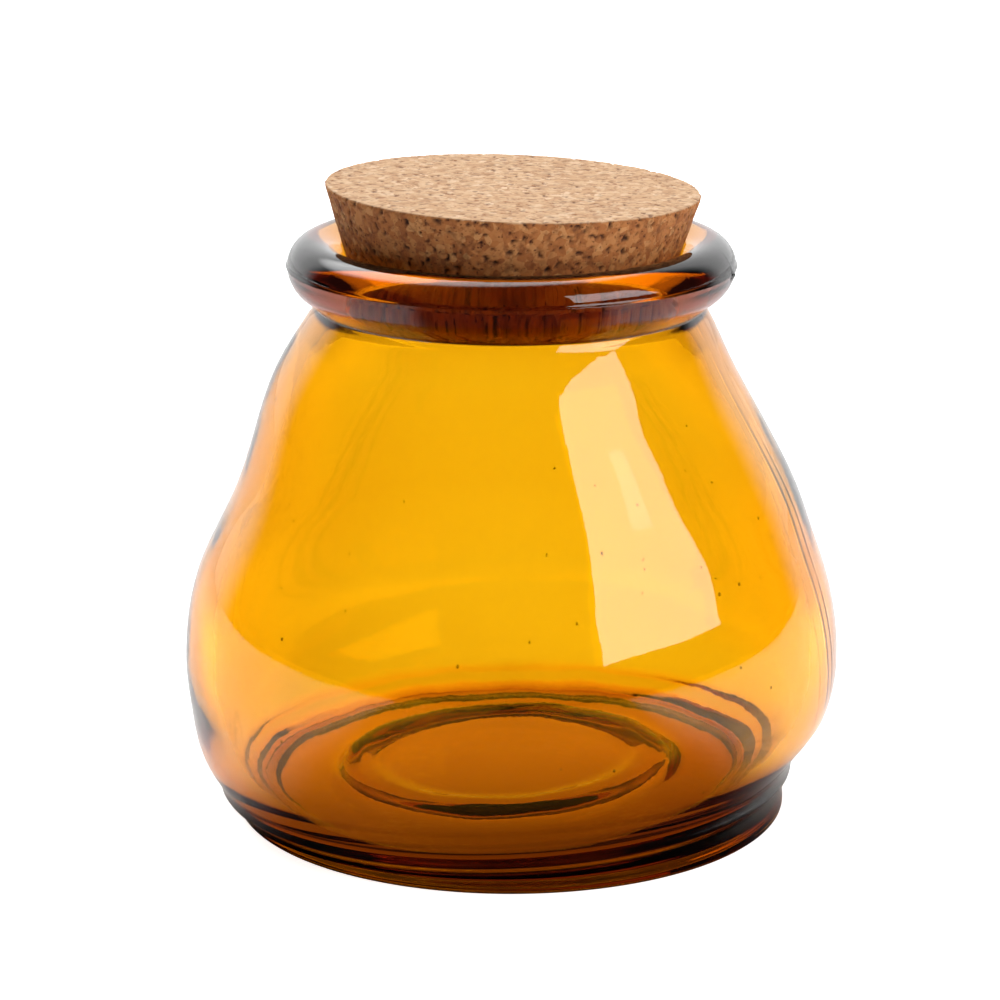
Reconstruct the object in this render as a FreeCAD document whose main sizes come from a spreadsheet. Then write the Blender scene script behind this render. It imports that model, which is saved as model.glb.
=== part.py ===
"""Storage jar of thick amber glass with a tapered stopper of pressed cork.

Frame: origin at the centre of the foot ring's resting plane, +Z up the jar's axis, millimetres.
Two pieces: the glass jar, one moulded piece, and the cork stopper, which stands in its throat
and lifts off upwards. Each is a PartDesign body whose sketches take their sizes from the sheet.
"""

import FreeCAD
import Part
import math
import os

import Sketcher

# Driving dimensions: alias, value, what it measures. Lengths in mm, angles in degrees.
SIZES = [
    ("foot_diameter", 126.8, "foot ring, outside"),
    ("foot_height", 5.4, "foot ring, up to the groove over it"),
    ("foot_edge", 1.5, "rounding of the foot ring's lower outer edge"),
    ("heel_diameter", 132.4, "lower edge of the body"),
    ("heel_height", 7.6, "height of that edge"),
    ("heel_edge", 0.8, "rounding of the heel's lower edge and of the groove"),
    ("belly_diameter", 150.0, "widest part of the body"),
    ("belly_height", 36.0, "height of the widest part"),
    ("belly_lower_radius", 42.0, "curve from the widest part down to the heel"),
    ("belly_upper_radius", 64.0, "curve from the widest part up to the flank"),
    ("flank_angle", 22.9, "lean of the straight flank from upright"),
    ("shoulder_radius", 185.0, "curve from the flank to the neck"),
    ("neck_diameter", 87.4, "groove under the lip"),
    ("neck_height", 117.0, "height of that groove"),
    ("lip_diameter", 100.5, "widest part of the lip"),
    ("lip_height", 126.6, "height of the lip's widest part"),
    ("lip_lower_radius", 8.0, "underside of the lip, next to its widest part"),
    ("lip_upper_radius", 6.0, "top of the lip, outside"),
    ("lip_inner_radius", 7.18, "top of the lip, inside"),
    ("parting_ridge", 0.3, "ridge that the mould's joint leaves round the lip"),
    ("throat_diameter", 73.9, "narrowest part, where the stopper seats"),
    ("throat_top", 124.6, "height where the throat meets the lip's rounded inside"),
    ("throat_bottom", 118.6, "height where the throat opens into the body"),
    ("throat_radius", 7.0, "curve from the throat to the inside of the shoulder"),
    ("inner_shoulder_diameter", 91.0, "cavity at the top of its flank"),
    ("inner_shoulder_height", 105.0, "height of that point"),
    ("inner_belly_diameter", 138.0, "cavity at its widest"),
    ("inner_belly_height", 36.0, "height of the cavity's widest part"),
    ("inner_upper_radius", 58.0, "cavity, from its widest part up to the flank"),
    ("inner_lower_radius", 36.0, "cavity, from its widest part down to the floor's curve"),
    ("floor_curve", 3.5, "cavity, curve between the wall and the floor"),
    ("floor_height", 7.6, "cavity's floor, round the raised middle"),
    ("rise_outer_diameter", 81.0, "foot of the slope up to the raised middle"),
    ("rise_inner_diameter", 73.0, "top of that slope"),
    ("rise_height", 10.3, "height of the raised middle"),
    ("dish_outer_diameter", 62.0, "edge of the shallow dish in the raised middle"),
    ("dish_inner_diameter", 58.0, "bottom edge of that dish"),
    ("dish_height", 9.6, "height of the dish's bottom"),
    ("recess_diameter", 113.0, "inner edge of the foot ring's resting face"),
    ("recess_floor_diameter", 109.0, "top edge of the foot ring's inner side"),
    ("recess_height", 1.5, "underside between the foot ring and the punt"),
    ("punt_outer_diameter", 80.0, "punt, at its mouth"),
    ("punt_inner_diameter", 70.0, "punt, at its roof"),
    ("punt_height", 4.6, "height of the punt's roof"),
    ("cork_diameter", 84.4, "stopper's top"),
    ("cork_length", 26.5, "stopper, top to bottom"),
    ("cork_taper", 17.6, "lean of the stopper's side from its axis"),
    ("cork_edge", 0.4, "rounding of the stopper's edges"),
    ("cork_seat_height", 117.3, "middle of the stopper's bottom above the foot"),
    ("cork_seat_offset", -0.63, "middle of the stopper's bottom from the jar's axis, along X"),
    ("cork_tilt", 2.1, "lean of the stopper in the throat, about Y"),
]
SHEET = "Sizes"
ABOVE_RIM = 3.0  # how far the cavity's tool runs past the lip
BELOW_FOOT = 2.0  # how far the punt's tool runs below the foot


def make_sheet(doc):
    """The spreadsheet of driving dimensions; returns {alias: value}."""
    sheet = doc.addObject("Spreadsheet::Sheet", SHEET)
    for row, (alias, value, meaning) in enumerate(SIZES, start=1):
        sheet.set(f"A{row}", str(value))
        sheet.set(f"B{row}", meaning)
        sheet.setAlias(f"A{row}", alias)
    doc.recompute()
    return {alias: getattr(sheet, alias) for alias, _, _ in SIZES}


def named(alias, scale=""):
    """An expression that reads a cell of the sheet, such as Sizes.foot_diameter / 2."""
    return f"{SHEET}.{alias}{scale}"


class Outline:
    """A closed sketch on a body's XZ plane, drawn as one path of lines and arcs.

    Each leg ends at a point (across, up). A corner's place is bound to the sheet with at(), an
    arc's radius with radius(), and smooth() makes the last leg tangent to the one before it.
    """

    def __init__(self, body, name, start):
        plane = next(f for f in body.Origin.OriginFeatures if f.Role == "XZ_Plane")
        self.sketch = body.newObject("Sketcher::SketchObject", name)
        self.sketch.AttachmentSupport = [(plane, "")]
        self.sketch.MapMode = "FlatFace"
        self.here = FreeCAD.Vector(start[0], start[1], 0)
        self.legs = []  # (edge, its start vertex, its end vertex)

    def line(self, across, up):
        end = FreeCAD.Vector(across, up, 0)
        edge = self.sketch.addGeometry(Part.LineSegment(self.here, end), False)
        self.join(edge, 1, 2, end)
        return self

    def arc(self, across, up, centre, outward=True):
        """An arc about centre to (across, up), bulging away from the axis unless outward is False."""
        end = FreeCAD.Vector(across, up, 0)
        middle = FreeCAD.Vector(centre[0], centre[1], 0)
        first, last = (self.here, end) if outward else (end, self.here)
        reach = [math.atan2(p.y - middle.y, p.x - middle.x) for p in (first, last)]
        circle = Part.Circle(middle, FreeCAD.Vector(0, 0, 1), (first - middle).Length)
        edge = self.sketch.addGeometry(Part.ArcOfCircle(circle, *reach), False)
        self.join(edge, *((1, 2) if outward else (2, 1)), end)
        return self

    def join(self, edge, first, last, end):
        self.legs.append((edge, first, last))
        if len(self.legs) > 1:
            before, _, vertex = self.legs[-2]
            self.add("Coincident", before, vertex, edge, first)
        self.here = end

    def smooth(self):
        """Makes the last leg tangent to the one before it, in place of their plain joint."""
        before, _, vertex = self.legs[-2]
        edge, first, _ = self.legs[-1]
        self.sketch.delConstraint(self.sketch.ConstraintCount - 1)
        self.add("Tangent", before, vertex, edge, first)
        return self

    def close(self):
        """Joins the last leg's end to the first leg's start."""
        edge, _, last = self.legs[-1]
        first_edge, first, _ = self.legs[0]
        self.add("Coincident", edge, last, first_edge, first)
        return self.sketch

    def add(self, *constraint):
        return self.sketch.addConstraint(Sketcher.Constraint(*constraint))

    def bind(self, index, expression):
        self.sketch.setExpression(f"Constraints[{index}]", expression)

    def at(self, across=None, up=None):
        """Binds the last leg's end: each place is an expression, "0" for on the axis."""
        edge, _, last = self.legs[-1]
        return self.place(edge, last, across, up)

    def from_start(self, across=None, up=None):
        """Binds the first leg's start."""
        edge, first, _ = self.legs[0]
        return self.place(edge, first, across, up)

    def place(self, edge, vertex, across, up):
        point = self.sketch.getPoint(edge, vertex)
        for kind, place, value in (("DistanceX", across, point.x), ("DistanceY", up, point.y)):
            if place == "0":
                self.add("PointOnObject", edge, vertex, -2 if kind == "DistanceX" else -1)
            elif place is not None:
                self.bind(self.add(kind, -1, 1, edge, vertex, value), place)
        return self

    def radius(self, expression):
        edge = self.legs[-1][0]
        self.bind(self.add("Radius", edge, self.sketch.Geometry[edge].Radius), expression)
        return self

    def centre(self, across=None, up=None):
        """Binds the last arc's centre."""
        return self.place(self.legs[-1][0], 3, across, up)

    def level(self):
        self.add("Horizontal", self.legs[-1][0])
        return self

    def upright(self):
        self.add("Vertical", self.legs[-1][0])
        return self

    def lean(self, expression, value):
        """Binds the last line's lean from upright, towards the axis as it rises."""
        edge, first, _ = self.legs[-1]
        self.bind(self.add("Angle", -2, 1, edge, first, math.radians(value)), expression)
        return self


def turned(body, name, outline, cut=False):
    """Revolves a closed outline a full turn about the jar's axis, as material or as a cut."""
    kind = "PartDesign::Groove" if cut else "PartDesign::Revolution"
    feature = body.newObject(kind, name)
    feature.Profile = outline
    feature.ReferenceAxis = (outline, ["V_Axis"])
    feature.Angle = 360
    outline.Visibility = False
    body.Document.recompute()
    return feature


def rounded(body, name, radius_alias, wanted):
    """Fillets the body's circular edges whose (radius, height) are in wanted."""
    base = body.Tip
    edges = []
    for number, edge in enumerate(base.Shape.Edges, start=1):
        if edge.Curve.TypeId != "Part::GeomCircle":
            continue
        found = (edge.Curve.Radius, edge.Curve.Center.z)
        if any(math.dist(found, place) < 0.01 for place in wanted):
            edges.append(f"Edge{number}")
    if len(edges) != len(wanted):
        raise RuntimeError(f"{name}: {len(edges)} edges found and {len(wanted)} wanted")
    fillet = body.newObject("PartDesign::Fillet", name)
    fillet.Base = (base, edges)
    fillet.setExpression("Radius", named(radius_alias))
    body.Document.recompute()
    return fillet


def touch(point, middle, radius, side):
    """Where a line from a point touches a circle: side is 1 with the circle on its left, -1 right."""
    across, up = middle[0] - point[0], middle[1] - point[1]
    heading = math.atan2(up, across) - side * math.asin(radius / math.hypot(across, up))
    length = math.sqrt(across**2 + up**2 - radius**2)
    return (point[0] + length * math.cos(heading), point[1] + length * math.sin(heading))


def jar_outside(body, size):
    """The outside of the glass, as the outline of a solid turned shape."""
    foot, heel = size["foot_diameter"] / 2, size["heel_diameter"] / 2
    belly, belly_z = size["belly_diameter"] / 2, size["belly_height"]
    neck, neck_z = size["neck_diameter"] / 2, size["neck_height"]
    lip, lip_z = size["lip_diameter"] / 2, size["lip_height"]
    low, high = size["belly_lower_radius"], size["belly_upper_radius"]
    flank = math.radians(size["flank_angle"])
    shoulder = size["shoulder_radius"]
    under, over = size["lip_lower_radius"], size["lip_upper_radius"]

    low_middle = (belly - low, belly_z)
    heel_top = belly_z - math.sqrt(low**2 - (heel - low_middle[0]) ** 2)
    high_middle = (belly - high, belly_z)
    flank_foot = (high_middle[0] + high * math.cos(flank), belly_z + high * math.sin(flank))
    # The flank runs until an arc of the shoulder's radius, tangent to it, meets the neck.
    inward = (-math.cos(flank), -math.sin(flank))
    to_neck = (neck - flank_foot[0] - shoulder * inward[0], neck_z - flank_foot[1] - shoulder * inward[1])
    reach = -to_neck[0] * math.sin(flank) + to_neck[1] * math.cos(flank)
    run = reach - math.sqrt(reach**2 - to_neck[0] ** 2 - to_neck[1] ** 2 + shoulder**2)
    flank_top = (flank_foot[0] - run * math.sin(flank), flank_foot[1] + run * math.cos(flank))
    shoulder_middle = (flank_top[0] + shoulder * inward[0], flank_top[1] + shoulder * inward[1])
    # The lip's underside is a cone from the neck, tangent to the arc at the lip's widest part.
    under_middle = (lip - under, lip_z)
    under_start = touch((neck, neck_z), under_middle, under, 1)

    half = " / 2"
    drawn = Outline(body, "jar_outside", (0, 0))
    drawn.line(foot, 0).level().from_start("0", "0").at(named("foot_diameter", half))
    drawn.line(foot, size["foot_height"]).upright().at(up=named("foot_height"))
    drawn.line(heel, size["heel_height"]).at(named("heel_diameter", half), named("heel_height"))
    drawn.line(heel, heel_top).upright()
    drawn.arc(belly, belly_z, low_middle).radius(named("belly_lower_radius"))
    drawn.at(named("belly_diameter", half), named("belly_height")).centre(up=named("belly_height"))
    drawn.arc(*flank_foot, high_middle).smooth().radius(named("belly_upper_radius"))
    drawn.line(*flank_top).smooth().lean(named("flank_angle"), size["flank_angle"])
    drawn.arc(neck, neck_z, shoulder_middle).smooth().radius(named("shoulder_radius"))
    drawn.at(named("neck_diameter", half), named("neck_height"))
    drawn.line(*under_start)
    drawn.arc(lip, lip_z, under_middle).smooth().radius(named("lip_lower_radius"))
    drawn.at(named("lip_diameter", half), named("lip_height")).centre(up=named("lip_height"))
    drawn.arc(lip - over, lip_z + over, (lip - over, lip_z)).smooth().radius(named("lip_upper_radius"))
    drawn.line(0, lip_z + over).smooth().level().at("0")
    drawn.line(0, 0)
    return drawn.close()


def jar_cavity(body, size):
    """What is hollow: the body of the jar, the throat and the funnel inside the lip."""
    crown = size["lip_diameter"] / 2 - size["lip_upper_radius"]
    top = size["lip_height"] + size["lip_upper_radius"]
    inner_lip = size["lip_inner_radius"]
    throat = size["throat_diameter"] / 2
    shoulder = (size["inner_shoulder_diameter"] / 2, size["inner_shoulder_height"])
    belly = (size["inner_belly_diameter"] / 2, size["inner_belly_height"])
    high, low = size["inner_upper_radius"], size["inner_lower_radius"]
    curve, floor = size["floor_curve"], size["floor_height"]

    # Straight lines run from the throat to the lip's rounded top, from the inside of the shoulder
    # up to the curve under the throat, and down to the arc over the cavity's widest part.
    lip_middle = (crown, top - inner_lip)
    funnel_foot = (throat, size["throat_top"])
    funnel_top = touch(funnel_foot, lip_middle, inner_lip, -1)
    turn_middle = (throat + size["throat_radius"], size["throat_bottom"])
    turn_end = touch(shoulder, turn_middle, size["throat_radius"], -1)
    high_middle = (belly[0] - high, belly[1])
    flank_foot = touch(shoulder, high_middle, high, -1)
    # The floor's curve touches the arc below the widest part and the floor.
    low_middle = (belly[0] - low, belly[1])
    across = math.sqrt((low - curve) ** 2 - (low_middle[1] - floor - curve) ** 2)
    curve_middle = (low_middle[0] + across, floor + curve)
    share = low / (low - curve)
    curve_top = (
        low_middle[0] + share * (curve_middle[0] - low_middle[0]),
        low_middle[1] + share * (curve_middle[1] - low_middle[1]),
    )

    half = " / 2"
    rim = named("lip_height") + " + " + named("lip_upper_radius")
    crown_place = named("lip_diameter", half) + " - " + named("lip_upper_radius")
    drawn = Outline(body, "jar_cavity", (0, size["dish_height"]))
    drawn.line(size["dish_inner_diameter"] / 2, size["dish_height"]).level()
    drawn.from_start("0", named("dish_height")).at(named("dish_inner_diameter", half))
    drawn.line(size["dish_outer_diameter"] / 2, size["rise_height"])
    drawn.at(named("dish_outer_diameter", half), named("rise_height"))
    drawn.line(size["rise_inner_diameter"] / 2, size["rise_height"]).level()
    drawn.at(named("rise_inner_diameter", half))
    drawn.line(size["rise_outer_diameter"] / 2, floor)
    drawn.at(named("rise_outer_diameter", half), named("floor_height"))
    drawn.line(curve_middle[0], floor).level()
    drawn.arc(*curve_top, curve_middle).smooth().radius(named("floor_curve"))
    drawn.arc(*belly, low_middle).smooth().radius(named("inner_lower_radius"))
    drawn.at(named("inner_belly_diameter", half), named("inner_belly_height"))
    drawn.arc(*flank_foot, high_middle).smooth().radius(named("inner_upper_radius"))
    drawn.centre(up=named("inner_belly_height"))
    drawn.line(*shoulder).smooth()
    drawn.at(named("inner_shoulder_diameter", half), named("inner_shoulder_height"))
    drawn.line(*turn_end)
    drawn.arc(throat, size["throat_bottom"], turn_middle, outward=False).smooth()
    drawn.radius(named("throat_radius")).at(named("throat_diameter", half), named("throat_bottom"))
    drawn.line(*funnel_foot).smooth().upright().at(up=named("throat_top"))
    drawn.line(*funnel_top)
    drawn.arc(crown, top, lip_middle, outward=False).smooth().radius(named("lip_inner_radius"))
    drawn.at(crown_place, rim).centre(crown_place)
    drawn.line(crown, top + ABOVE_RIM).upright()
    drawn.line(0, top + ABOVE_RIM).level().at("0", f"{rim} + {ABOVE_RIM}")
    drawn.line(0, size["dish_height"])
    return drawn.close()


def jar_underside(body, size):
    """What is hollow below: the recess inside the foot ring, and the punt."""
    half = " / 2"
    drawn = Outline(body, "jar_underside", (0, -BELOW_FOOT))
    drawn.line(size["recess_diameter"] / 2, -BELOW_FOOT).level()
    drawn.from_start("0", f"-{BELOW_FOOT}").at(named("recess_diameter", half))
    drawn.line(size["recess_diameter"] / 2, 0).upright().at(up="0")
    drawn.line(size["recess_floor_diameter"] / 2, size["recess_height"])
    drawn.at(named("recess_floor_diameter", half), named("recess_height"))
    drawn.line(size["punt_outer_diameter"] / 2, size["recess_height"]).level()
    drawn.at(named("punt_outer_diameter", half))
    drawn.line(size["punt_inner_diameter"] / 2, size["punt_height"])
    drawn.at(named("punt_inner_diameter", half), named("punt_height"))
    drawn.line(0, size["punt_height"]).level().at("0")
    drawn.line(0, -BELOW_FOOT)
    return drawn.close()


def parting_ridge(body, size):
    """The low ridge round the lip's widest part, a triangle sunk in the glass by its own height."""
    lip, middle, ridge = size["lip_diameter"] / 2, size["lip_height"], size["parting_ridge"]
    half = " / 2"
    drawn = Outline(body, "parting_ridge_section", (lip - ridge, middle - 2 * ridge))
    inner = f"{named('lip_diameter', half)} - {named('parting_ridge')}"
    drawn.line(lip + ridge, middle)
    drawn.from_start(inner, f"{named('lip_height')} - 2 * {named('parting_ridge')}")
    drawn.at(f"{named('lip_diameter', half)} + {named('parting_ridge')}", named("lip_height"))
    drawn.line(lip - ridge, middle + 2 * ridge)
    drawn.at(inner, f"{named('lip_height')} + 2 * {named('parting_ridge')}")
    drawn.line(lip - ridge, middle - 2 * ridge)
    return drawn.close()


def glass_jar(doc, size):
    body = doc.addObject("PartDesign::Body", "glass_jar")
    turned(body, "solid_of_glass", jar_outside(body, size))
    turned(body, "mould_parting_ridge", parting_ridge(body, size))
    full = body.Shape.Volume
    turned(body, "cavity", jar_cavity(body, size), cut=True)
    walled = body.Shape.Volume
    turned(body, "recess_and_punt", jar_underside(body, size), cut=True)
    if not body.Shape.Volume < walled < full:
        raise RuntimeError("a cut of the jar took nothing away")
    foot, heel = size["foot_diameter"] / 2, size["heel_diameter"] / 2
    rounded(body, "foot_rounding", "foot_edge", [(foot, 0.0)])
    rounded(body, "heel_rounding", "heel_edge", [(foot, size["foot_height"]), (heel, size["heel_height"])])
    slopes = [
        (size["rise_outer_diameter"] / 2, size["floor_height"]),
        (size["rise_inner_diameter"] / 2, size["rise_height"]),
        (size["punt_outer_diameter"] / 2, size["recess_height"]),
        (size["punt_inner_diameter"] / 2, size["punt_height"]),
    ]
    rounded(body, "floor_rounding", "foot_edge", slopes)
    rounded(body, "throat_rounding", "foot_edge", [(size["throat_diameter"] / 2, size["throat_top"])])
    return body


def cork_stopper(doc, size):
    """The stopper, upright about its own bottom centre, then set down leaning in the throat."""
    body = doc.addObject("PartDesign::Body", "cork_stopper")
    top, length = size["cork_diameter"] / 2, size["cork_length"]
    bottom = top - length * math.tan(math.radians(size["cork_taper"]))
    drawn = Outline(body, "stopper_section", (0, 0))
    drawn.line(bottom, 0).level().from_start("0", "0")
    drawn.line(top, length).at(named("cork_diameter", " / 2"), named("cork_length"))
    drawn.lean("-" + named("cork_taper"), -size["cork_taper"])
    drawn.line(0, length).level().at("0")
    drawn.line(0, 0)
    turned(body, "stopper", drawn.close())
    rounded(body, "worn_edges", "cork_edge", [(bottom, 0.0), (top, length)])
    axis = FreeCAD.Vector(0, 1, 0)
    place = FreeCAD.Vector(size["cork_seat_offset"], 0, size["cork_seat_height"])
    body.Placement = FreeCAD.Placement(place, FreeCAD.Rotation(axis, size["cork_tilt"]))
    body.setExpression("Placement.Base.x", named("cork_seat_offset"))
    body.setExpression("Placement.Base.z", named("cork_seat_height"))
    body.setExpression("Placement.Rotation.Angle", named("cork_tilt"))
    return body


def check(doc, bodies):
    """Stops on any object that failed, or any piece that isn't one valid closed solid."""
    for item in doc.Objects:
        if "Invalid" in item.State or "Error" in item.State:
            raise RuntimeError(f"{item.Label} failed: {item.State}")
    for body in bodies:
        shape = body.Shape
        if shape.isNull() or not shape.isValid() or len(shape.Solids) != 1:
            raise RuntimeError(f"{body.Label} isn't one valid solid")
        box = shape.BoundBox
        print(
            f"{body.Label}: {shape.Volume / 1000:.1f} ml of material, "
            f"{box.XLength:.1f} x {box.YLength:.1f} x {box.ZLength:.1f} mm"
        )


def main():
    doc = FreeCAD.newDocument("cork_stoppered_jar")
    size = make_sheet(doc)
    bodies = [glass_jar(doc, size), cork_stopper(doc, size)]
    doc.recompute()
    check(doc, bodies)
    os.makedirs("parts", exist_ok=True)
    for body in bodies:
        body.Shape.exportStep(os.path.join("parts", body.Label + ".step"))


main()
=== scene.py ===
"""A storage jar of thick amber glass and its stopper of pressed cork, in a plain studio.

The jar and the stopper are drawn in millimetres and turned to metres by MM. The studio is written
in metres. The jar's outline follows the CAD model's; the mesh adds an uneven wall, seams, ripples
and seeds.
"""

import bmesh
import bpy
import math
import random
from mathutils import Matrix, Vector, noise


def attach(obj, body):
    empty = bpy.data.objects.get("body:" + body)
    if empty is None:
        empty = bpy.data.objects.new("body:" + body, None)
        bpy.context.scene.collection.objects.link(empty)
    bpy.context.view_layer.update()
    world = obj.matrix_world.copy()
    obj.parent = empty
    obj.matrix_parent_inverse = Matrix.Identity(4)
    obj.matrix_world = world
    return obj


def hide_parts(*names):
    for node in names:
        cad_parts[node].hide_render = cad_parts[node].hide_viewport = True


MM = 0.001
TO_METRES = Vector((MM, MM, MM))
JOIN = 0.0005  # points nearer than this are one
AROUND = 288  # columns of faces round the jar
SEAM_TURN = math.radians(-15)  # the mould parted along a line turned this far from left to right
SEAM = Vector((math.cos(SEAM_TURN), math.sin(SEAM_TURN), 0))
ACROSS_SEAM = Vector((-SEAM.y, SEAM.x, 0))

# A Mix node's sockets for colours: its two inputs and its output.
COLOUR_A, COLOUR_B, COLOUR_OUT = 6, 7, 2

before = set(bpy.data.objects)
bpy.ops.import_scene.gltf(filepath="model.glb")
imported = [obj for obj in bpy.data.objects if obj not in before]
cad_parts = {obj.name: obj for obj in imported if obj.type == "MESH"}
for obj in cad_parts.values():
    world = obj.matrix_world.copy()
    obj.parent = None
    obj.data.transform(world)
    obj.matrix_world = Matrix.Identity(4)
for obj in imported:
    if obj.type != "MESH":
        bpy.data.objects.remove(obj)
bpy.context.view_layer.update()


# ---------------------------------------------------------------- small tools


def linear(hex_colour):
    """An sRGB hex colour as linear red, green, blue and alpha."""
    parts = [int(hex_colour[i : i + 2], 16) / 255 for i in (1, 3, 5)]
    return [p / 12.92 if p <= 0.04045 else ((p + 0.055) / 1.055) ** 2.4 for p in parts] + [1.0]


def add_node(tree, kind, settings=None, links=None):
    """Adds a node. A setting is a property, or an input by name or number; a link is a socket."""
    node = tree.nodes.new(kind)
    for name, value in (settings or {}).items():
        if isinstance(name, str) and hasattr(node, name):
            setattr(node, name, value)
        else:
            node.inputs[name].default_value = value
    for name, socket in (links or {}).items():
        tree.links.new(socket, node.inputs[name])
    return node


def ramp_stops(node, stops):
    """Sets a colour ramp's stops: (position, hex colour) pairs."""
    band = node.color_ramp
    while len(band.elements) < len(stops):
        band.elements.new(0.5)
    for element, (place, colour) in zip(band.elements, stops):
        element.position = place
        element.color = linear(colour)


def new_material(name):
    """An empty material, and its node tree."""
    made = bpy.data.materials.new(name)
    made.use_nodes = True
    made.node_tree.nodes.clear()
    return made, made.node_tree


def object_place(tree):
    """The point being shaded, in metres."""
    return add_node(tree, "ShaderNodeTexCoord").outputs["Object"]


def between(tree, value, start, end, low, high, shape="SMOOTHSTEP"):
    """Goes from low to high as the value goes from start to end."""
    rise = add_node(
        tree,
        "ShaderNodeMapRange",
        {
            "interpolation_type": shape,
            "From Min": start,
            "From Max": end,
            "To Min": low,
            "To Max": high,
        },
        {"Value": value},
    )
    return rise.outputs["Result"]


def noise_pattern(tree, place, size, detail, roughness=0.5):
    """Noise whose patches are about size millimetres across."""
    pattern = add_node(
        tree,
        "ShaderNodeTexNoise",
        {"Scale": 1 / (size * MM), "Detail": detail, "Roughness": roughness},
        {"Vector": place},
    )
    return pattern.outputs["Fac"]


def bumps(tree, height, strength, distance):
    """A surface direction, from a pattern whose full height is distance millimetres."""
    settings = {"Strength": strength, "Distance": distance * MM}
    return add_node(tree, "ShaderNodeBump", settings, {"Height": height}).outputs["Normal"]


def arithmetic(tree, operation, first, second=0.0):
    """One sum on two values, each a number or a socket."""
    node = add_node(tree, "ShaderNodeMath", {"operation": operation})
    for place, value in enumerate((first, second)):
        if isinstance(value, (int, float)):
            node.inputs[place].default_value = value
        else:
            tree.links.new(value, node.inputs[place])
    return node.outputs["Value"]


def mix(tree, share, first, second):
    """The first value where the share is 0 and the second where it is 1. Both are sockets."""
    links = {"Factor": share, "A": first, "B": second}
    return add_node(tree, "ShaderNodeMix", {"data_type": "FLOAT"}, links).outputs["Result"]


def mix_colours(tree, share, first, second):
    """The same for colours, each a socket or linear red, green, blue and alpha."""
    node = add_node(tree, "ShaderNodeMix", {"data_type": "RGBA"}, {"Factor": share})
    for place, colour in ((COLOUR_A, first), (COLOUR_B, second)):
        if isinstance(colour, bpy.types.NodeSocket):
            tree.links.new(colour, node.inputs[place])
        else:
            node.inputs[place].default_value = colour
    return node.outputs[COLOUR_OUT]


def finish_piece(bm, name, material, body, node):
    """Makes the mesh an object that rides its body and stands for its CAD node."""
    mesh = bpy.data.meshes.new(name)
    bm.to_mesh(mesh)
    bm.free()
    mesh.shade_smooth()
    piece = bpy.data.objects.new(name, mesh)
    bpy.context.scene.collection.objects.link(piece)
    mesh.materials.append(material)
    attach(piece, body)
    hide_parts(node)
    return piece


def hump(value, middle, width):
    """A smooth bump of height 1 at the middle."""
    return math.exp(-(((value - middle) / width) ** 2))


def fade(value, start, end):
    """0 before start, 1 after end, and smooth between."""
    t = min(1.0, max(0.0, (value - start) / (end - start)))
    return t * t * (3 - 2 * t)


# ---------------------------------------------------------------- the jar's glass


# Centres of the outline's arcs: across from the axis, and up. Inside and outside share three.
FOOT_EDGE = (61.9, 1.5)
FOOT_GROOVE = (64.5, 4.7)
HEEL = (64.9, 8.1)
LOWER_BELLY = (33.0, 36.0)
UPPER_BELLY = (11.0, 36.0)
SHOULDER = (-113.732, 20.328)
LIP_SIDE = (42.25, 126.6)
LIP_TOP = (44.25, 126.6)
LIP_INSIDE = (44.25, 125.42)
THROAT_MOUTH = (43.95, 118.6)
FLOOR_EDGE = (53.9, 11.1)

# Where those arcs begin or end, from their centres.
HEEL_FROM_BELLY = (33.2, -25.725)
FLANK_FROM_SHOULDER = (170.42, 71.988)
NECK_FROM_SHOULDER = (157.432, 96.672)
INNER_NECK_FROM_SHOULDER = (156.73, 87.47)
GROOVE_FROM_LIP = (5.683, -5.631)

FLANK_LEAN = 22.9  # degrees from upright, of the straight part between belly and shoulder
RIDGE_START = 2  # degrees below the lip's widest part

# Straight strokes: across, up and the steps to take there.
PUNT_TO_FOOT = [
    (34.0, 4.6, 12),
    (35.6, 4.1, 2),
    (39.2, 1.9, 4),
    (41.0, 1.5, 2),
    (53.6, 1.5, 6),
    (55.0, 1.2, 2),
    (56.6, 0.12, 2),
    (57.6, 0.0, 1),
    (61.9, 0.0, 3),
]
NECK_GROOVE = [(43.8, 117.6, 1), (47.6, 120.6, 4)]
# The ridge where the lip's two moulds met.
PARTING_RIDGE = [(50.5, 126.45, 1), (50.5, 126.75, 1), (50.243, 126.9, 1)]
THROAT = [(36.95, 124.6, 2), (36.95, 118.6, 5)]
FLOOR = [
    (41.4, 7.6, 6),
    (39.8, 8.0, 2),
    (37.2, 9.9, 3),
    (35.4, 10.3, 2),
    (31.6, 10.3, 3),
    (28.6, 9.6, 3),
    (0, 9.6, 12),
]


def draw_to(bm, vert, strokes):
    """Draws the outline on in straight strokes."""
    for across, up, steps in strokes:
        start = vert.co.copy()
        end = Vector((across, 0, up))
        for step in range(1, steps + 1):
            grown = bmesh.ops.extrude_vert_indiv(bm, verts=[vert])["verts"][0]
            grown.co = start.lerp(end, step / steps)
            vert = grown
    return vert


def draw_round(bm, vert, centre, degrees, steps):
    """Draws the outline on along an arc about a centre, up and over for positive degrees."""
    across, up = centre
    turned = bmesh.ops.spin(
        bm,
        geom=[vert],
        cent=Vector((across, 0, up)),
        axis=Vector((0, -1, 0)),
        angle=math.radians(degrees),
        steps=steps,
    )
    return next(g for g in turned["geom_last"] if isinstance(g, bmesh.types.BMVert))


def heading(offset):
    """The direction of a point from its arc's centre, in degrees above level."""
    across, up = offset
    return math.degrees(math.atan2(up, across))


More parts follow.
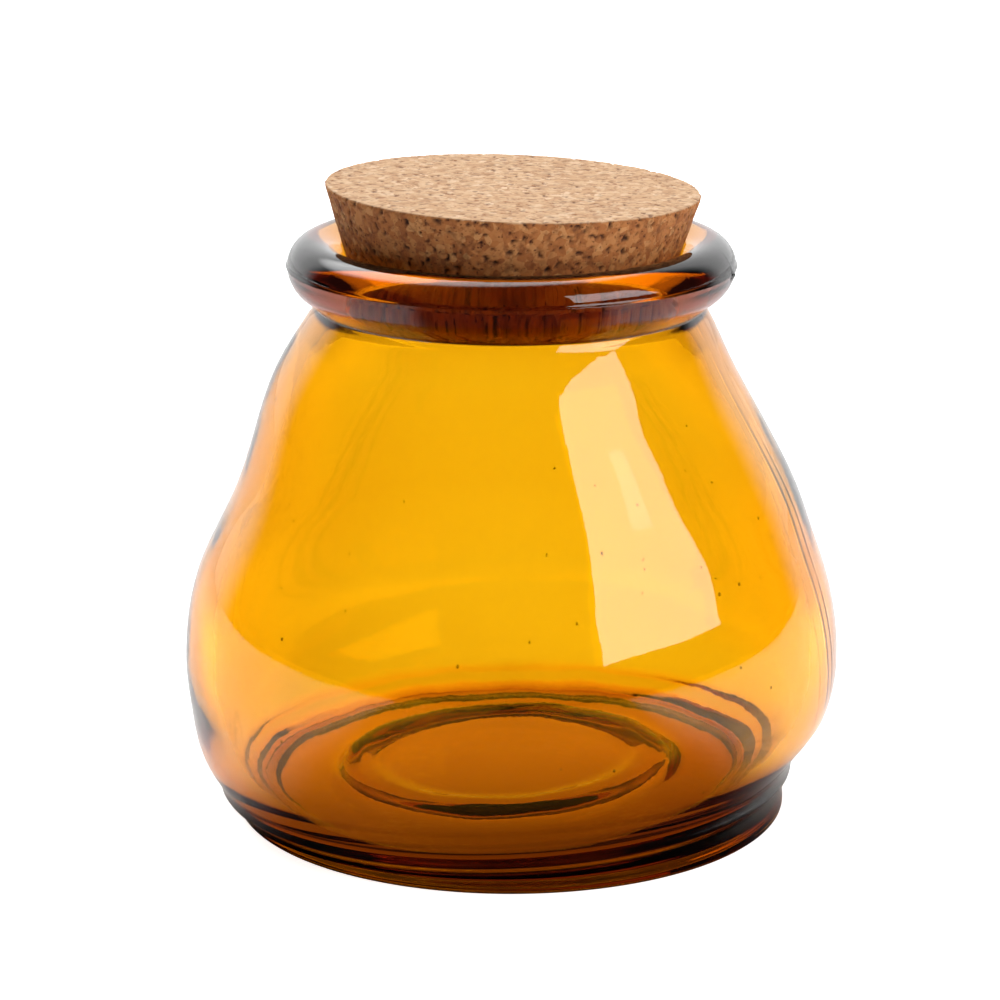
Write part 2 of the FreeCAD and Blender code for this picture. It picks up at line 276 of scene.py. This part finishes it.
def outer_outline(bm):
    """From the middle of the underside out under the foot and up to the crown of the lip."""
    vert = bmesh.ops.create_vert(bm, co=Vector((0, 0, 4.6)))["vert"][0]
    vert = draw_to(bm, vert, PUNT_TO_FOOT)
    vert = draw_round(bm, vert, FOOT_EDGE, 90, 6)
    vert = draw_to(bm, vert, [(63.4, 4.7, 3)])
    vert = draw_round(bm, vert, FOOT_GROOVE, -45, 3)
    vert = draw_to(bm, vert, [(65.6, 7.0, 3)])
    vert = draw_round(bm, vert, HEEL, 68, 3)
    vert = draw_to(bm, vert, [(66.2, 10.275, 1)])
    vert = draw_round(bm, vert, LOWER_BELLY, -heading(HEEL_FROM_BELLY), 22)
    vert = draw_round(bm, vert, UPPER_BELLY, FLANK_LEAN, 16)
    vert = draw_to(bm, vert, [(56.687, 92.316, 16)])
    turn = heading(NECK_FROM_SHOULDER) - heading(FLANK_FROM_SHOULDER)
    vert = draw_round(bm, vert, SHOULDER, turn, 14)
    vert = draw_to(bm, vert, NECK_GROOVE)
    vert = draw_round(bm, vert, LIP_SIDE, -heading(GROOVE_FROM_LIP) - RIDGE_START, 14)
    vert = draw_to(bm, vert, PARTING_RIDGE)
    return draw_round(bm, vert, LIP_TOP, 87.13, 16)


def inner_outline(bm, vert):
    """From the crown of the lip down into the throat and round to the floor's middle."""
    vert = draw_round(bm, vert, LIP_INSIDE, 84.2, 16)
    vert = draw_to(bm, vert, THROAT)
    vert = draw_round(bm, vert, THROAT_MOUTH, 46, 7)
    vert = draw_to(bm, vert, [(43.0, 107.8, 6)])
    turn = FLANK_LEAN - heading(INNER_NECK_FROM_SHOULDER)
    vert = draw_round(bm, vert, SHOULDER, turn, 12)
    vert = draw_to(bm, vert, [(64.43, 58.57, 16)])
    vert = draw_round(bm, vert, UPPER_BELLY, -FLANK_LEAN, 14)
    vert = draw_round(bm, vert, LOWER_BELLY, -50, 24)
    vert = draw_round(bm, vert, FLOOR_EDGE, -40, 5)
    return draw_to(bm, vert, FLOOR)


HEEL_TILT = 2.3  # how far the heel rises on one side and drops on the other
FLOOR_SHIFT = 0.8  # how far the floor's rings stand to the right


def side_shift(up):
    """How far the jar wanders to the right of its axis, by height."""
    return 1.2 * hump(up, 75, 12) - 2.0 * hump(up, 14, 9) - 1.3 * hump(up, 103, 12)


def uneven_outside(point):
    """The outside: leaning, tilted at the heel, faintly rippled and a little drawn in at the
    belly."""
    up = point.z
    heel = fade(up, 0.5, 5) * (1 - fade(up, 9, 26))
    fine_place = point / 7.0 + Vector((5, 1, 8))
    ripple = 0.09 * noise.noise(point / 21.0) + 0.02 * noise.noise(fine_place)
    ripple *= fade(up, 6, 20)
    drawn_in = 0.12 * fade(up, 15, 30) * (1 - fade(up, 60, 80))
    across = Vector((point.x, point.y, 0)).normalized()
    tilt = heel * HEEL_TILT * point.x / 64
    return point + Vector((side_shift(up), 0, tilt)) + across * (ripple - drawn_in)


def uneven_inside(point):
    """The inside, which no mould touched: it follows the outside loosely."""
    up = point.z
    away = Vector((3.1, 7.7, 2.2))
    from_axis = math.hypot(point.x, point.y)
    ripple = 0.16 * noise.noise(point / 24.0 + away) + 0.03 * noise.noise(point / 8.0 + away)
    ripple *= fade(up, 8, 22) * (1 - fade(up, 108, 118))
    across = Vector((point.x, point.y, 0)).normalized()
    low_down = 1 - fade(up, 11.5, 18)
    swell = 0.35 * noise.noise(point / 13.0 + away) * (low_down * fade(from_axis, 2, 20))
    on_floor = low_down * (1 - fade(from_axis, 40, 50))
    shift = side_shift(up) * 0.9 * (1 - on_floor) + FLOOR_SHIFT * on_floor
    return point + Vector((shift, 0, swell)) + across * ripple


SEAM_HALF_WIDTH = 0.7
SEAM_LIFT = 0.07
RIDGE_LIFT = 0.6  # more of it where the seam crosses the lip's ridge
RIDGE_UP = 126.3


def is_wall(face, outside):
    """Whether the face is on the outside, above the foot and below the crown."""
    outer = all(v[outside] > 0.5 and v.co.z > 9 for v in face.verts)
    return outer and face.calc_center_median().z < 131.5


def raise_seams(bm, outside):
    """The two mould seams up the jar's sides: a narrow strip each, with its middle lifted."""
    for edge_of_strip in (-SEAM_HALF_WIDTH, SEAM_HALF_WIDTH):
        faces = [f for f in bm.faces if is_wall(f, outside)]
        edges = (e for f in faces for e in f.edges)
        verts = (v for f in faces for v in f.verts)
        bmesh.ops.bisect_plane(
            bm,
            geom=list({*faces, *edges, *verts}),
            dist=0.0001,
            plane_co=ACROSS_SEAM * edge_of_strip,
            plane_no=ACROSS_SEAM,
        )
    for vert in bm.verts:
        up = vert.co.z
        if abs(vert.co.dot(ACROSS_SEAM)) < 0.05 and vert[outside] > 0.5 and 12 < up < 131:
            lift = SEAM_LIFT * (1 + 0.5 * noise.noise(Vector((0, 0, up / 5))))
            lift += RIDGE_LIFT * hump(up, RIDGE_UP, 0.9)
            vert.co += SEAM * math.copysign(lift, vert.co.dot(SEAM))


# The middle of the wall: from the axis, and up.
WALL_MIDDLE = [
    (66.0, 20),
    (71.0, 30),
    (71.6, 40),
    (69.6, 52),
    (66.2, 64),
    (61.5, 76),
    (56.6, 88),
    (51.0, 100),
]
SEEDS = 64


def add_seeds(bm):
    """Gas bubbles that the glass kept when it set, 0.3 to 0.7 mm across, in the middle of the
    wall."""
    chance = random.Random(11)
    for _ in range(SEEDS):
        (low, bottom), (high, top) = chance.choice(list(zip(WALL_MIDDLE[:-1], WALL_MIDDLE[1:])))
        share = chance.random()
        radius = low + (high - low) * share + chance.uniform(-0.4, 0.4)
        up = bottom + (top - bottom) * share
        turn = chance.uniform(0, 2 * math.pi)
        size = chance.uniform(0.15, 0.35)
        centre = (radius * math.cos(turn) + side_shift(up), radius * math.sin(turn), up)
        stretch = Matrix.Diagonal((size, size, size * chance.uniform(1.0, 1.8), 1))
        place = Matrix.Translation(centre) @ stretch
        made = bmesh.ops.create_icosphere(bm, subdivisions=1, radius=1, matrix=place)
        faces = list({f for v in made["verts"] for f in v.link_faces})
        bmesh.ops.reverse_faces(bm, faces=faces)


def glass_material():
    """Amber glass: clear right through, brown only where it is thick, and glossy all over, a bit
    softer in patches."""
    glass, tree = new_material("recycled_amber_glass")
    place = object_place(tree)
    # Ripples left by the mould, about 9 mm from crest to crest.
    ripples = noise_pattern(tree, place, 9, 4.0)
    # Handling marks make patches of the gloss a little softer.
    marks = noise_pattern(tree, place, 14, 4.0)
    surface = add_node(
        tree,
        "ShaderNodeBsdfPrincipled",
        {"Base Color": (1, 1, 1, 1), "Transmission Weight": 1.0, "IOR": 1.51},
        {
            "Normal": bumps(tree, ripples, 0.18, 0.15),
            "Roughness": between(tree, marks, 0.45, 0.75, 0.0, 0.03, "LINEAR"),
        },
    )
    # The amber: blue is lost within a few millimetres, and green goes sooner than red.
    depth = add_node(
        tree, "ShaderNodeVolumeAbsorption", {"Color": (0.903, 0.791, 0.0, 1), "Density": 545.0}
    )
    add_node(
        tree,
        "ShaderNodeOutputMaterial",
        links={"Surface": surface.outputs["BSDF"], "Volume": depth.outputs["Volume"]},
    )
    return glass


def make_jar():
    """The outline turned about the axis, then made uneven, with seams and seeds."""
    bm = bmesh.new()
    outside = bm.verts.layers.float.new("outside")
    crown = outer_outline(bm)
    for vert in bm.verts:
        vert[outside] = 1.0
    inner_outline(bm, crown)
    bmesh.ops.spin(
        bm,
        geom=list(bm.verts) + list(bm.edges),
        cent=Vector((0, 0, 0)),
        axis=Vector((0, 0, 1)),
        angle=2 * math.pi,
        steps=AROUND,
        use_merge=True,
    )
    bmesh.ops.remove_doubles(bm, verts=bm.verts, dist=JOIN)
    bmesh.ops.dissolve_degenerate(bm, edges=bm.edges, dist=JOIN)
    raise_seams(bm, outside)
    for vert in bm.verts:
        vert.co = uneven_outside(vert.co) if vert[outside] > 0.5 else uneven_inside(vert.co)
    bmesh.ops.recalc_face_normals(bm, faces=bm.faces)
    add_seeds(bm)
    bmesh.ops.scale(bm, verts=bm.verts, vec=TO_METRES)
    return finish_piece(bm, "jar_glass", glass_material(), "jar", "glass_jar")


# ---------------------------------------------------------------- the stopper

STOPPER_TOP = 42.2  # radius
STOPPER_LENGTH = 26.5
STOPPER_TAPER = math.radians(17.6)
STOPPER_EDGE = 0.4
STOPPER_SEAT = Vector((-0.63, 0, 117.3))
STOPPER_TILT = math.radians(2.1)
FACE = 0.5  # size of the mesh's faces
GRANULE = 2.4  # the granules whose joints are open, across
TONE_PATCH = 1.6  # the patches of one tone, across

CUT_TONES = [(0.0, "#B58A63"), (0.35, "#C69D75"), (0.7, "#CFAA84"), (1.0, "#DDBF9E")]
SIDE_TONES = [(0.0, "#96592F"), (0.4, "#B06D3B"), (0.75, "#BE7F4A"), (1.0, "#CF9760")]


def granule_tones(tree, place, stops):
    """Each patch's own tone, from pale cork to the bark's darker back."""
    granules = add_node(
        tree, "ShaderNodeTexVoronoi", {"Scale": 1 / (TONE_PATCH * MM)}, {"Vector": place}
    )
    tones = add_node(tree, "ShaderNodeValToRGB", links={"Fac": granules.outputs["Color"]})
    ramp_stops(tones, stops)
    return tones.outputs["Color"]


def flecks(tree, place, size, start, end):
    """Specks of dark bark, as a share of 0 to 1."""
    speckle = noise_pattern(tree, place, size, 3.0, 0.65)
    return between(tree, speckle, start, end, 0.0, 1.0, "LINEAR")


def cork_face(tree, place, tones, specks, hollow_shade, hollow_shade_colour):
    """Granules of these tones, two sorts of specks over them, and painted shade where the cork is
    hollow.
    """
    colour = granule_tones(tree, place, tones)
    for size, start, end, dark in specks:
        share = flecks(tree, place, size, start, end)
        colour = mix_colours(tree, share, colour, linear(dark))
    return mix_colours(tree, hollow_shade, colour, linear(hollow_shade_colour))


def cork_material():
    """Pressed cork: granules of bark glued in a mould. Light tan faces cut with a blade, brown
    sides, with flecks of dark bark and holes between the granules, darkened with painted shade."""
    cork, tree = new_material("pressed_cork")
    place = object_place(tree)
    hollow_shade = add_node(tree, "ShaderNodeAttribute", {"attribute_name": "hollow_shade"}).outputs["Fac"]
    skin = add_node(tree, "ShaderNodeAttribute", {"attribute_name": "skin"}).outputs["Fac"]
    # The cut faces: pale granules with reddish flecks, and painted shade in the hollows.
    specks = [(1.7, 0.58, 0.68, "#A06C42"), (0.9, 0.62, 0.7, "#8A5230")]
    cut = cork_face(tree, place, CUT_TONES, specks, hollow_shade, "#6E452A")
    # The sides: brown skin, with near-black painted shade where a chip is out.
    specks = [(2.2, 0.52, 0.75, "#7E4A28"), (0.8, 0.6, 0.68, "#4A2713")]
    side = cork_face(tree, place, SIDE_TONES, specks, hollow_shade, "#3B1F10")
    # Open cells, about 0.5 mm apart, rough in themselves.
    cells = noise_pattern(tree, place, 0.5, 3.0, 0.7)
    surface = add_node(
        tree,
        "ShaderNodeBsdfPrincipled",
        {"Specular IOR Level": 0.3},
        {
            "Base Color": mix_colours(tree, skin, cut, side),
            "Roughness": between(tree, cells, 0.0, 1.0, 0.92, 0.7, "LINEAR"),
            "Normal": bumps(tree, cells, 0.6, 0.12),
        },
    )
    add_node(tree, "ShaderNodeOutputMaterial", links={"Surface": surface.outputs["BSDF"]})
    return cork


def stopper_blank():
    """The stopper's plain tapered block, with even faces of half a millimetre all over."""
    bm = bmesh.new()
    bottom = STOPPER_TOP - STOPPER_LENGTH * math.tan(STOPPER_TAPER)
    bmesh.ops.create_cone(
        bm,
        cap_ends=True,
        segments=256,
        radius1=bottom,
        radius2=STOPPER_TOP,
        depth=STOPPER_LENGTH,
        matrix=Matrix.Translation((0, 0, STOPPER_LENGTH / 2)),
    )
    rims = [e for e in bm.edges if abs(e.verts[0].co.z - e.verts[1].co.z) < 0.01]
    bmesh.ops.bevel(
        bm,
        geom=rims,
        offset=STOPPER_EDGE,
        segments=3,
        profile=0.5,
        affect="EDGES",
        material=-1,
    )
    mesh = bpy.data.meshes.new("stopper_blank")
    bm.to_mesh(mesh)
    bm.free()
    blank = bpy.data.objects.new("stopper_blank", mesh)
    bpy.context.scene.collection.objects.link(blank)
    even = blank.modifiers.new("even", "REMESH")
    even.mode = "VOXEL"
    even.voxel_size = FACE
    evaluated = blank.evaluated_get(bpy.context.evaluated_depsgraph_get())
    made = bpy.data.meshes.new_from_object(evaluated)
    bpy.data.objects.remove(blank)
    return made


def wear_cork(bm):
    """Opens the joints between granules and takes chips out, most of all on the sides and rims."""
    hollow_shade = bm.verts.layers.float.new("hollow_shade")
    skin = bm.verts.layers.float.new("skin")
    bm.normal_update()
    for vert in bm.verts:
        place = vert.co.copy()
        side = 1 - fade(abs(vert.normal.z), 0.6, 0.9)
        wander = noise.noise_vector(place / 3.0) * 0.9
        near, _ = noise.voronoi((place + wander) / GRANULE)
        joint = 1 - fade(near[1] - near[0], 0.02, 0.2)
        sparse = fade(noise.noise(place / 4.0 + Vector((9, 2, 4))), -0.1, 0.35)
        chip = fade(noise.noise(place / 1.25 + Vector((3, 8, 1))), 0.28, 0.52)
        on_side = 0.12 * joint + 0.55 * chip
        on_cut = 0.05 * joint * sparse + 0.22 * chip
        depth = side * on_side + (1 - side) * on_cut
        dent = 0.10 * noise.noise(place / 5.0) + 0.10
        vert.co -= vert.normal * (depth + dent * (0.3 + 0.7 * side))
        # Painted shade: how much the chips and open joints are darkened in colour.
        vert[hollow_shade] = min(1.0, 0.95 * chip + (0.25 + 0.2 * side) * joint * sparse)
        vert[skin] = side


def make_stopper():
    """The worn cork, leaning in its place."""
    bm = bmesh.new()
    bm.from_mesh(stopper_blank())
    wear_cork(bm)
    bmesh.ops.transform(
        bm,
        matrix=Matrix.Translation(STOPPER_SEAT) @ Matrix.Rotation(STOPPER_TILT, 4, "Y"),
        verts=bm.verts,
    )
    bmesh.ops.scale(bm, verts=bm.verts, vec=TO_METRES)
    return finish_piece(bm, "stopper_cork", cork_material(), "stopper", "cork_stopper")


# ---------------------------------------------------------------- the studio


def area_light(name, place, turn, size, power):
    """A rectangular lamp: place and size in metres, turn in degrees, power in watts."""
    data = bpy.data.lights.new(name, "AREA")
    data.shape = "RECTANGLE"
    data.size, data.size_y = size
    data.energy = power
    lamp = bpy.data.objects.new(name, data)
    lamp.location = place
    lamp.rotation_euler = [math.radians(t) for t in turn]
    bpy.context.scene.collection.objects.link(lamp)


TABLE_HALF_WIDTH = 6.0
WHITE = (1.0, 1.0, 1.0, 1.0)
# The colour of the painted glow under the jar, standing in for light come through its bottom.
UNDER_JAR_GLOW_COLOUR = (1.0, 0.47, 0.1, 1.0)
CEILING = (-0.2, 0.49, 0.849)  # the direction of the lit ceiling's middle


def seen_through(tree, path):
    """1 for what the camera sees through the glass, 0 for light on its way to a matt surface."""
    first_hand = arithmetic(tree, "LESS_THAN", path.outputs["Diffuse Depth"], 0.5)
    return arithmetic(tree, "MULTIPLY", path.outputs["Is Transmission Ray"], first_hand)


def make_floor():
    """A white table. Seen through the glass it glows with painted light, most of all at the sides.
    Mirrored in the glass it is painted dark in front of the jar: a painted dark reflection."""
    bm = bmesh.new()
    bmesh.ops.create_grid(bm, x_segments=1, y_segments=1, size=TABLE_HALF_WIDTH)
    mesh = bpy.data.meshes.new("floor")
    bm.to_mesh(mesh)
    bm.free()
    floor = bpy.data.objects.new("floor", mesh)
    bpy.context.scene.collection.objects.link(floor)
    table, tree = new_material("white_table")
    spot = object_place(tree)
    place = add_node(tree, "ShaderNodeSeparateXYZ", links={"Vector": spot})
    path = add_node(tree, "ShaderNodeLightPath")
    aside = arithmetic(tree, "ABSOLUTE", place.outputs["X"])
    widening = arithmetic(tree, "MULTIPLY", aside, 1.2)
    clear_of_front = arithmetic(tree, "ADD", place.outputs["Y"], widening)
    # Painted dark reflection: in the glass's reflections the table is dark in front of the jar.
    painted_dark_reflection = between(tree, clear_of_front, 0.02, 0.1, 0.05, 0.9)
    white = add_node(
        tree,
        "ShaderNodeMix",
        {"data_type": "FLOAT", "A": 0.92},
        {"Factor": path.outputs["Is Glossy Ray"], "B": painted_dark_reflection},
    )
    from_jar = add_node(tree, "ShaderNodeVectorMath", {"operation": "LENGTH"}, {0: spot})
    # Painted light: a glow seen only through the glass, brighter at the sides and dimmer far back.
    middle = between(tree, place.outputs["Y"], 0.15, 0.4, 0.87, 0.8)
    sides = between(tree, aside, 0.05, 0.2, 0.0, 2.2)
    far_back = between(tree, place.outputs["Y"], 0.12, 0.35, 1.0, 0.25)
    sides = arithmetic(tree, "MULTIPLY", sides, far_back)
    glow = arithmetic(tree, "ADD", middle, sides)
    outside_jar = between(tree, from_jar.outputs["Value"], 0.06, 0.09, 0.0, 1.0)
    under_jar = between(tree, place.outputs["Y"], -0.06, 0.03, 0.35, 1.3)
    glow = mix(tree, outside_jar, under_jar, glow)
    glow = arithmetic(tree, "MULTIPLY", glow, seen_through(tree, path))
    # Under the jar the glow is amber, as if it had come down through the jar's bottom. Seen
    # directly
    # the table is white.
    untinted = arithmetic(tree, "MAXIMUM", outside_jar, path.outputs["Is Camera Ray"])
    glow_colour = mix_colours(tree, untinted, UNDER_JAR_GLOW_COLOUR, WHITE)
    plain = arithmetic(tree, "MULTIPLY", path.outputs["Is Camera Ray"], 0.9)
    surface = add_node(
        tree,
        "ShaderNodeBsdfPrincipled",
        {"Roughness": 0.9, "Specular IOR Level": 0.0},
        {
            "Base Color": white.outputs["Result"],
            "Emission Color": glow_colour,
            "Emission Strength": arithmetic(tree, "ADD", glow, plain),
        },
    )
    add_node(tree, "ShaderNodeOutputMaterial", links={"Surface": surface.outputs["BSDF"]})
    mesh.materials.append(table)


def make_world():
    """A white wall behind, brighter out to the sides, a lit ceiling over it and a dark front.
    Light on its way through the glass to a matt surface also comes from low down all round."""
    world = bpy.data.worlds.new("studio")
    world.use_nodes = True
    tree = world.node_tree
    tree.nodes.clear()
    direction = add_node(tree, "ShaderNodeTexCoord").outputs["Generated"]
    split = add_node(tree, "ShaderNodeSeparateXYZ", links={"Vector": direction})
    behind = between(tree, split.outputs["Y"], 0.45, 0.7, 0.03, 1.65)
    high_up = add_node(
        tree,
        "ShaderNodeVectorMath",
        {"operation": "DOT_PRODUCT", 1: CEILING},
        {0: direction},
    )
    above = between(tree, high_up.outputs["Value"], 0.8, 0.94, 0.0, 6.0)
    studio = arithmetic(tree, "MAXIMUM", behind, above)
    aside = arithmetic(tree, "ABSOLUTE", split.outputs["X"])
    white = between(tree, aside, 0.05, 0.45, 1.85, 2.4)
    not_in_front = between(tree, split.outputs["Y"], -0.1, 0.25, 0.03, 1.0)
    not_overhead = between(tree, split.outputs["Z"], 0.15, 0.45, 1.0, 0.1)
    where = arithmetic(tree, "MULTIPLY", not_in_front, not_overhead)
    through = arithmetic(tree, "MULTIPLY", white, where)
    low = between(tree, split.outputs["Z"], 0.1, 0.6, 4.0, 0.0)
    onto_matt = arithmetic(tree, "MAXIMUM", arithmetic(tree, "MULTIPLY", studio, 2.0), low)
    path = add_node(tree, "ShaderNodeLightPath")
    clear = mix(tree, path.outputs["Is Transmission Ray"], studio, onto_matt)
    clear = mix(tree, seen_through(tree, path), clear, through)
    clear = mix(tree, path.outputs["Is Camera Ray"], clear, white)
    light = add_node(tree, "ShaderNodeBackground", links={"Strength": clear})
    add_node(tree, "ShaderNodeOutputWorld", links={"Surface": light.outputs["Background"]})
    bpy.context.scene.world = world


SOFTBOX_TURN = (111.9, -3.5, 35.4)
CAMERA_PLACE = (-2.6 * MM, -782.0 * MM, 287.8 * MM)
CAMERA_DOWN = 15.47  # degrees below level


def make_camera():
    """A long lens, level from side to side and looking a little down."""
    data = bpy.data.cameras.new("camera")
    data.sensor_width = 36.0
    data.lens = 128.05
    camera = bpy.data.objects.new("camera", data)
    camera.location = CAMERA_PLACE
    camera.rotation_euler = (math.radians(90 - CAMERA_DOWN), 0, 0)
    bpy.context.scene.collection.objects.link(camera)
    bpy.context.scene.camera = camera


make_camera()
make_jar()
make_stopper()
make_floor()
make_world()
area_light("front_softbox", (1.10, -0.795, 0.836), SOFTBOX_TURN, (1.12, 1.10), 20.3)
area_light("softbox_lamp", (1.05, -0.75, 0.80), SOFTBOX_TURN, (0.2, 0.2), 0.2)

scene = bpy.context.scene
scene.view_settings.view_transform = "Standard"
# Light crosses at least four faces of glass here, and is turned about inside the lip and the foot.
scene.cycles.max_bounces = 24
scene.cycles.transmission_bounces = 24
scene.cycles.glossy_bounces = 16
